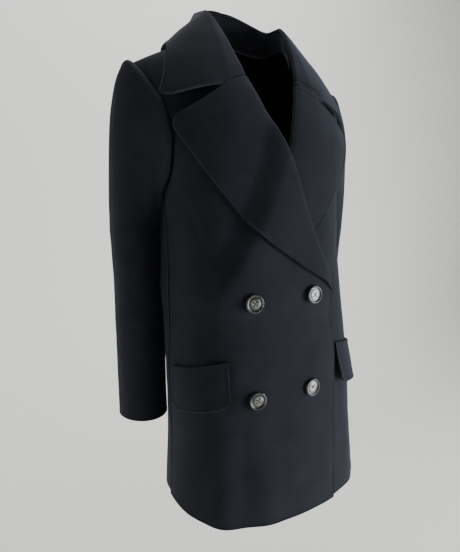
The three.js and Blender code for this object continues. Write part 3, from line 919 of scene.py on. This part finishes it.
def stand_points(v, u):
    at = mix(-STAND_END, STAND_END, v)
    rise = collar_rise(at)
    height = 1 - STAND_CLEARANCE / np.linalg.norm(rise, axis=-1)
    up = rise * (height * (1 - u))[..., None]
    inset = mix(STAND_INSET["top"], STAND_INSET["foot"], u)[..., None]
    return collar_foot(at, SEAM) + up + inset * towards_neck(at)


def both_ends(count):
    """Shares that are closer together near both ends."""
    even = shares(count)
    return even - END_CROWDING * np.sin(2 * np.pi * even)


fall = fall_points(*grid(both_ends(FALL_NET[0]), shares(FALL_NET[1])))
put("collar_fall", fall, DOUBLE, (0, FAR_AWAY, 0), FALL_EDGES)
stand = stand_points(*even_grid(*STAND_NET))
put("collar_stand", stand, WALL, (0, FAR_AWAY, 0), STAND_EDGES)

# %% [markdown]
# ## Sleeves
#
# Each sleeve has a front and a back half, with seams along the outer and the inner arm.
# A plain tube would not meet the armhole, so a smooth curve leads from every point of
# the armhole into the tube. The head of the sleeve is fuller than the armhole, so it
# stands up in a soft roll beside the seam. Creases lie at the bend of the elbow and
# under the arm, where cloth is pushed together.

# %% Sleeves
SLEEVE = table(
    drop=  [300, 380, 470, 560, 624],
    x=     [178, 171, 167, 165, 164],
    y=     [51,  61,  68,  74,  75],
    half_x=[39,  40,  41,  41,  41],
    half_y=[50,  49,  48,  47,  47],
)
SLEEVE_JOIN = 300.0
CUFF_DROP = 624.0
HEAD_SHARE = 0.55       # share of the rows above the join
# How a sleeve leaves the armhole and enters the tube, at the shoulder and under the arm
HEAD_RISE = (0.38, -0.5)
HEAD_PULL = (120.0, 24.0)
TUBE_PULL = (205.0, 60.0)
HEAD_FORWARD = 0.25
TUBE_WAY = (0.0, 0.1, -1.0)
UNDERARM_CLEARANCE = 3.0
LEFT_SLEEVE_OUT = 27.0
LEFT_SLEEVE_SWING = 1.65
SLEEVE_SEAM_TURN = 0.05
HEAD_ROLL = {"height": 2.6, "at": 9.0, "width": 8.0}
# Turn 0 is the shoulder, 90 the front, 180 the underarm and 270 the back.
SLEEVE_CREASES = table(
    angle=   [60,   118,  160,  96,   70,   128,  205,  236,  262,  300,  222,  30,   336],
    drop=    [170,  245,  290,  365,  392,  404,  275,  300,  352,  410,  428,  200,  215],
    to_angle=[84,   140,  164,  140,  112,  160,  226,  262,  300,  332,  258,  46,   318],
    to_drop= [300,  330,  430,  388,  420,  420,  330,  372,  385,  440,  452,  470,  420],
    width=   [13,   10,   22,   8,    11,   7,    10,   12,   9,    10,   9,    16,   15],
    depth=   [-1.4, -1.7, 4.2,  -1.3, 1.1,  -1.2, -1.5, 1.3,  -1.2, -0.9, 1.0,  0.9,  -1.0],
)
SLEEVE_MM_PER_DEGREE = 0.78
SLEEVE_NET = (170, 60)
print(len(SLEEVE_CREASES["angle"]), "creases on each sleeve.")

# %% Points of a sleeve
def lowness(turn):
    """0 at the shoulder and 1 at the underarm."""
    return (1 - np.cos(np.radians(turn))) / 2


def armhole_points(side, turn):
    """Armhole edge round the sleeve."""
    low = lowness(turn)
    drop = low * (CHEST_DROP - UNDERARM_CLEARANCE)
    is_front = turn <= 180
    edge = np.where(is_front, read(ARMHOLE, "front", drop), read(ARMHOLE, "back", drop)) + SIDE_GAP
    angle = np.where(is_front, side * edge, 180 - side * edge)
    return on_body(angle, drop, low * UNDERARM_CLEARANCE)


def tube_points(side, turn, drop):
    carried = LEFT_SLEEVE_OUT + LEFT_SLEEVE_SWING * body("swing", drop) if side > 0 else 0.0
    x = read(SLEEVE, "x", drop) + carried + read(SLEEVE, "half_x", drop) * np.cos(np.radians(turn))
    y = read(SLEEVE, "y", drop) - read(SLEEVE, "half_y", drop) * np.sin(np.radians(turn))
    return stack(side * x, y, -drop)


def sleeve_points(side, turn, v):
    below = (v - HEAD_SHARE) / (1 - HEAD_SHARE)
    tube = tube_points(side, turn, mix(SLEEVE_JOIN, CUFF_DROP, below))
    t = np.clip(v / HEAD_SHARE, 0, 1)[..., None]
    low = lowness(turn)
    way = stack(side, -HEAD_FORWARD * np.sin(np.radians(turn)), mix(*HEAD_RISE, low))
    start = mix(*HEAD_PULL, low)[..., None] * way
    end = mix(*TUBE_PULL, low)[..., None] * np.array(TUBE_WAY)
    head = (
        armhole_points(side, turn) * (1 + 2 * t) * (1 - t) ** 2
        + start * t * (1 - t) ** 2
        + tube_points(side, turn, np.full_like(turn, SLEEVE_JOIN)) * t * t * (3 - 2 * t)
        + end * t * t * (t - 1)
    )
    return np.where((v >= HEAD_SHARE)[..., None], tube, head)


def sleeve_relief(net, turn):
    """Creases of a sleeve, and the roll of its head."""
    head = bump(distances(net)["top"], HEAD_ROLL) * (1 - lowness(turn))
    return crease_relief(SLEEVE_CREASES, turn, -net[..., 2], SLEEVE_MM_PER_DEGREE) + head


for side_name, side in (("right", -1), ("left", 1)):
    for half, start in (("front", 0), ("back", 180)):
        first, last = start + SLEEVE_SEAM_TURN, start + 180 - SLEEVE_SEAM_TURN
        v, turn = grid(shares(SLEEVE_NET[0]), shares(SLEEVE_NET[1], first, last))
        net = sleeve_points(side, turn, v)
        outward = (side * FAR_AWAY / 8, -FAR_AWAY if half == "front" else FAR_AWAY, 0)
        relief = sleeve_relief(net, turn)
        put(f"{side_name}_sleeve_{half}", net, WALL, outward, SEWN_EDGES, relief)

# %% [markdown]
# ## Pocket flaps
#
# A flap is sewn on along its top edge and hangs free. Its lower corners are round. They
# could be cut with a Boolean, but shorter end columns let the rolled edge follow each
# corner. The left flap stands away from the hip.

# %% Flaps
FLAP = {"top": 489, "height": 71, "corner": 17, "start": 0.4, "far_angle": 84, "slant": 20}
FLAP_NET = (40, 64)
FLAP_HANG = {"curve": 1.5, "loss": 0.6}     # how its lift grows downwards, and fades rearwards
FLAP_NEAR = {-1: 92, 1: 112}
FLAP_LIFT = {-1: 3, 1: 9}
FLAP_GAP = 0.5
FLAP_EDGES = rolls(1.2, 2.0, 2.0, 2.0)


def flap_points(side, v, u):
    middle = np.array(FLAP["top"] + FLAP["height"] / 2)
    near = np.abs(angle_at(side * FLAP_NEAR[side], middle))
    angle = side * mix(near, FLAP["far_angle"], u)
    ends = face_point(side * np.array([near, FLAP["far_angle"]]), middle)
    from_end = np.minimum(u, 1 - u) * np.linalg.norm(ends[1] - ends[0])
    short = np.maximum(FLAP["corner"] - FLAP["start"] - from_end, 0)
    cut = FLAP["corner"] - np.sqrt(FLAP["corner"] ** 2 - short**2)
    drop = FLAP["top"] + FLAP["slant"] * u + v * (FLAP["height"] - cut)
    under = lap_out(face_point(angle, drop)[..., 0], drop) if side < 0 else 0.0
    lift = FLAP_LIFT[side] * v ** FLAP_HANG["curve"] * (1 - FLAP_HANG["loss"] * u)
    return on_body(angle, drop, under + DOUBLE + FLAP_GAP + lift)


for name, side in (("right_pocket_flap", -1), ("left_pocket_flap", 1)):
    net = flap_points(side, *grid(shares(FLAP_NET[0]), both_ends(FLAP_NET[1])))
    put(name, net, DOUBLE, (side * FAR_AWAY, -FAR_AWAY, 0), FLAP_EDGES)

# %% [markdown]
# ## Buttons
#
# All four buttons are the same turned disc with a thick rim, a dished middle and
# four holes. A turned shape is a profile spun round its axis, and Booleans drill it.
# One is modelled and Geometry Nodes sets it at four points, each turned to face along
# the cloth's normal. Two crossed bars of thread hold it.

# %% One button
BUTTON = {"radius": 14.0, "thick": 5.0, "hole": 1.25, "spread": 2.7}
# Heights of the rim, the dish and the disc in its middle are shares of the thickness
RIM = {"reach": 1.612, "middle": 0.55, "half": 0.45, "steps": 15, "foot": 0.66, "lip": 0.5}
DISH = {"floor": 0.56, "wall": (10.0, 12.4), "steps": 30}
DISC = {"height": 0.12, "edge": (6.4, 9.4), "sink": 0.05, "sink_radius": 4.0}
AXIS = 0.05             # innermost radius, closed with a small face
DRILL = {"sides": 20, "below": 10, "above": 20}
SHARP = math.radians(38)
BUTTON_SEAT = table(
    x=    [-59, 44,  -51, 48],
    drop= [403, 399, 554, 551],
    clear=[0.8, 0.8, 0.4, 0.2],
)
BUTTON_NODES = ["button_right_1", "button_left_1", "button_right_2", "button_left_2"]
LATHE_STEPS = 72


def button_profile():
    """Radius and height from the middle of the underside, round the rim, to the dish."""
    radius, thick, crest = BUTTON["radius"], BUTTON["thick"], BUTTON["radius"] - RIM["reach"]
    turn = np.linspace(-np.pi / 2, np.pi / 2, RIM["steps"])
    height = thick * (RIM["middle"] + RIM["half"] * np.sin(turn))
    height[0] = RIM["lip"]
    edge = np.column_stack([crest + RIM["reach"] * np.cos(turn), height])
    inside = np.linspace(crest, AXIS, DISH["steps"])[1:]
    floor = DISH["floor"] + (1 - DISH["floor"]) * ease(inside, *DISH["wall"])
    disc = DISC["height"] * (1 - ease(inside, *DISC["edge"]))
    sink = DISC["sink"] * (1 - ease(inside, 0, DISC["sink_radius"]))
    face = np.column_stack([inside, thick * (floor + disc - sink)])
    under = [(AXIS, 0.0), (radius * RIM["foot"], 0.0)]
    return np.concatenate([under, edge, face])


def numbers(net):
    """Vertex numbers in the shape of a net."""
    return np.arange(net.shape[0] * net.shape[1]).reshape(net.shape[:2])


def lathe(profile, steps):
    """A closed turned solid from a profile of radius and height."""
    turn = np.linspace(0, 2 * np.pi, steps, endpoint=False)
    radius, height = profile.T
    x, y = np.cos(turn)[:, None] * radius, np.sin(turn)[:, None] * radius
    ring = stack(x, y, height)
    number = numbers(ring)
    number = np.concatenate([number, number[:1]])
    faces = quads(number).tolist() + [number[:-1, 0].tolist(), number[:-1, -1].tolist()[::-1]]
    return ring.reshape(-1, 3), faces


def drill(x, y):
    """A round cutter through a button hole."""
    profile = np.array([(BUTTON["hole"], -DRILL["below"]), (BUTTON["hole"], DRILL["above"])])
    vertices, faces = lathe(profile, DRILL["sides"])
    return vertices + [x, y, 0], faces


print("Profile of the button:", len(button_profile()), "points.")

# %% Drill the button
def settled(thing):
    """The object's mesh with its modifiers worked in."""
    view = thing.evaluated_get(bpy.context.evaluated_depsgraph_get())
    mesh = bpy.data.meshes.new_from_object(view)
    thing.modifiers.clear()
    thing.data = mesh
    return thing


def make_button():
    vertices, faces = lathe(button_profile(), LATHE_STEPS)
    button = plain_object("button", vertices, faces, horn)
    holes = BUTTON["spread"] * np.array([(-1, -1), (-1, 1), (1, -1), (1, 1)])
    cutters = [plain_object("drill", *drill(*hole), horn) for hole in holes]
    for cutter in cutters:
        modifier = button.modifiers.new("hole", "BOOLEAN")
        modifier.operation, modifier.object, modifier.solver = "DIFFERENCE", cutter, "EXACT"
    settled(button)
    for cutter in cutters:
        bpy.data.objects.remove(cutter)
    face_map = button.data.uv_layers.new(name="face")
    for loop in button.data.loops:
        x, y, _ = button.data.vertices[loop.vertex_index].co * METRE / BUTTON["radius"]
        face_map.data[loop.index].uv = (0.5 + 0.5 * x, 0.5 + 0.5 * y)
    button.data.shade_smooth()
    button.data.set_sharp_from_angle(angle=SHARP)
    return button


button = make_button()
print("Button:", len(button.data.polygons), "faces with four holes.")

# %% Crossed thread
THREAD = {"radius": 0.36, "reach": 1.06, "dip": 2.6, "bend": 5, "steps": 17, "sides": 10}
THREAD_RAISED = 0.1     # above the disc of the button


def thread_bar(way, raised):
    """Vertices and faces of a bar of thread that dips into two opposite holes."""
    reach = BUTTON["spread"] * THREAD["reach"]
    top = BUTTON["thick"] * (DISH["floor"] + DISC["height"]) + raised
    s = np.linspace(-1, 1, THREAD["steps"])
    height = top - THREAD["dip"] * np.abs(s) ** THREAD["bend"]
    line = stack(reach * way[0] * s, reach * way[1] * s, height)
    tangent = unit(np.gradient(line, axis=0))
    side = unit(np.array([-way[1], way[0], 0.0]))
    turn = np.linspace(0, 2 * np.pi, THREAD["sides"], endpoint=False)
    up = np.cross(tangent, side)[:, None]
    ring = up * np.sin(turn)[:, None] + side * np.cos(turn)[:, None]
    tube = line[:, None] + THREAD["radius"] * ring
    number = numbers(tube)
    faces = quads(np.concatenate([number, number[:, :1]], axis=1)).tolist()
    return tube.reshape(-1, 3), faces + [number[0].tolist()[::-1], number[-1].tolist()]


def make_threads():
    """Two crossed bars as one object, the second over the first."""
    under, faces = thread_bar((1.0, 1.0), THREAD_RAISED)
    over, more = thread_bar((1.0, -1.0), THREAD_RAISED + THREAD["radius"])
    faces = faces + [[len(under) + k for k in face] for face in more]
    return plain_object("crossed_thread", np.concatenate([under, over]), faces, thread)


crossed_thread = make_threads()
print("Crossed thread:", len(crossed_thread.data.polygons), "faces.")

# %% [markdown]
# The points carry the direction that each button faces. The node group turns the
# button's own upward axis to that direction, makes the copies real and sets their
# material. Named inputs keep the group usable for any button and any row of points.

# %% Set the buttons with Geometry Nodes
GROUP_INPUTS = {"Points": "Geometry", "Piece": "Object", "Finish": "Material"}
SEAT_GAP = 0.4          # below every button, besides its own clearance
FACING_STEP = 2.0


def instance_group(name):
    """A node group that sets turned copies of an object at the points of a mesh."""
    group = bpy.data.node_groups.new(name, "GeometryNodeTree")
    for title, kind in GROUP_INPUTS.items():
        group.interface.new_socket(title, in_out="INPUT", socket_type="NodeSocket" + kind)
    group.interface.new_socket("Pieces", in_out="OUTPUT", socket_type="NodeSocketGeometry")
    start = group.nodes.new("NodeGroupInput")
    points, piece, finish = (Value(group, start.outputs[k]) for k in range(3))
    settings = {"data_type": "FLOAT_VECTOR"}
    facing = points.node("GeometryNodeInputNamedAttribute", settings=settings, Name="facing")
    settings = {"axis": "Z"}
    turned = points.node("FunctionNodeAlignRotationToVector", settings=settings, Vector=facing)
    shape = points.node("GeometryNodeObjectInfo", out=4, Object=piece)
    inputs = {"Points": points, "Instance": shape, "Rotation": turned}
    copies = points.node("GeometryNodeInstanceOnPoints", **inputs)
    real = points.node("GeometryNodeRealizeInstances", Geometry=copies)
    done = points.node("GeometryNodeSetMaterial", Geometry=real, Material=finish)
    end = group.nodes.new("NodeGroupOutput")
    done.feed(end.inputs[0], done)
    return group


def set_copies(name, group, piece, finish, places, facing):
    """Copies of a piece at the places, as one mesh."""
    thing = plain_object(name, places, [], None)
    attribute = thing.data.attributes.new("facing", "FLOAT_VECTOR", "POINT")
    attribute.data.foreach_set("vector", facing.astype(np.float32).ravel())
    modifier = thing.modifiers.new(name, "NODES")
    modifier.node_group = group
    sockets = {item.name: item.identifier for item in group.interface.items_tree}
    modifier[sockets["Piece"]] = piece
    modifier[sockets["Finish"]] = finish
    return settled(thing)


x, drop, clear = BUTTON_SEAT.values()
angle, out = angle_at(x, drop), lap_out(x, drop)
seats = on_body(angle, drop, out + clear + SEAT_GAP)
facing = unit(on_body(angle, drop, out + FACING_STEP) - on_body(angle, drop, out))
copies = instance_group("copies on points")
buttons = set_copies("buttons", copies, button, horn, seats, facing)
threads = set_copies("threads", copies, crossed_thread, thread, seats, facing)
for template in (button, crossed_thread):
    bpy.data.objects.remove(template)
for thing, material_slot in ((buttons, "horn"), (threads, "melton")):
    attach(thing, "root")
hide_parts(*BUTTON_NODES)
print(len(BUTTON_NODES), "buttons set:", len(buttons.data.polygons), "faces.")

# %% [markdown]
# ## Studio
#
# A curved sheet gives a pale floor that turns into a pale wall. One large soft light
# stands to the right, as a window would, a weak one fills from the left and a third
# lights the wall from above. The wool is nearly black, so its form is read from the
# sheen that the large light gives. A single sun would leave hard shadows on the wall.

# %% Floor, wall and lights
FLOOR_Z = -1.32
WALL_Y = 1.5
SWEEP = {"radius": 0.6, "half_width": 3.2, "front": -2.6, "top": 2.4, "steps": 13}
PAPER = (0.80, 0.785, 0.755, 1)
PAPER_FINISH = {"Roughness": 0.9, "Emission_Strength": 0.29}
ROOM = {"colour": (0.80, 0.82, 0.85, 1), "strength": 0.06}
MIDDLE = (0.03, 0.0, -0.40)


def make_backdrop():
    radius = SWEEP["radius"]
    turn = np.linspace(0, np.pi / 2, SWEEP["steps"])
    y = np.concatenate([[SWEEP["front"]], WALL_Y - radius + radius * np.sin(turn), [WALL_Y]])
    z = np.concatenate([[FLOOR_Z], FLOOR_Z + radius - radius * np.cos(turn), [SWEEP["top"]]])
    rows = [(x, b, c) for b, c in zip(y, z) for x in (-SWEEP["half_width"], SWEEP["half_width"])]
    faces = [[2 * k, 2 * k + 1, 2 * k + 3, 2 * k + 2] for k in range(len(y) - 1)]
    material, shader, place = new_material("paper")
    set_inputs(place, shader, Base_Color=PAPER, Emission_Color=PAPER, **PAPER_FINISH)
    backdrop = plain_object("backdrop", np.array(rows) * METRE, faces, material)
    backdrop.data.shade_smooth()
    backdrop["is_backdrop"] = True
    return backdrop


def area_light(name, place, target, size, power, colour):
    light = bpy.data.lights.new(name, "AREA")
    light.shape, light.size, light.size_y = "RECTANGLE", *size
    light.energy, light.color = power, colour
    lamp = new_object(name, light)
    lamp.location = place
    lamp.rotation_euler = (Vector(target) - Vector(place)).to_track_quat("-Z", "Y").to_euler()
    return lamp


make_backdrop()
area_light("window", (1.8, -1.6, -0.75), MIDDLE, (1.1, 1.5), 97, (0.93, 0.97, 1.0))
area_light("fill", (-2.0, -0.2, -0.5), MIDDLE, (1.2, 1.8), 16, (0.95, 0.98, 1.0))
area_light("top", (0.3, 0.6, 1.9), (0.1, 1.2, -0.4), (2.4, 1.4), 45, (1.0, 1.0, 1.0))
world = bpy.data.worlds.new("room")
world.use_nodes = True
background = world.node_tree.nodes["Background"].inputs
background["Color"].default_value = ROOM["colour"]
background["Strength"].default_value = ROOM["strength"]
bpy.context.scene.world = world
print("Three soft lights and a pale sweep.")

# %% [markdown]
# ## Camera
#
# The camera stands to the wearer's right, a little above the waist, and looks slightly
# down. Its wide lens is that of a phone held less than a metre away. A longer lens from
# farther off would flatten the near sleeve.

# %% Camera
CAMERA_PLACE = (-0.403, -0.650, -0.270)
CAMERA_YAW, CAMERA_PITCH = 30.0, 8.45    # degrees to the right and down
FOCAL_PIXELS = 440.0
FRAME_PIXELS = (460, 552)
SENSOR_MM = 36.0
CLIP_START = 0.01


def make_camera():
    lens = bpy.data.cameras.new("camera")
    lens.sensor_width = SENSOR_MM
    lens.lens = FOCAL_PIXELS * SENSOR_MM / max(FRAME_PIXELS)
    lens.clip_start = CLIP_START
    camera = new_object("camera", lens)
    camera.location = CAMERA_PLACE
    camera.rotation_euler = (math.radians(90 - CAMERA_PITCH), 0, math.radians(-CAMERA_YAW))
    return camera


scene = bpy.context.scene
scene.camera = make_camera()
scene.render.resolution_x, scene.render.resolution_y = FRAME_PIXELS
scene.render.resolution_percentage = 100
print("Lens:", round(scene.camera.data.lens, 1), "mm")

# %% [markdown]
# ## Size of the frame and of the dressed coat
#
# The dressed coat has to keep the size of its frame. Both boxes are printed.

# %% Sizes and finish
bpy.context.view_layer.update()
dressed_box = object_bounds()
boxes = {"frame": frame_box, "dressed": dressed_box}
boxes = {name: [list(corner) for corner in box] for name, box in boxes.items()}
print(boxes)
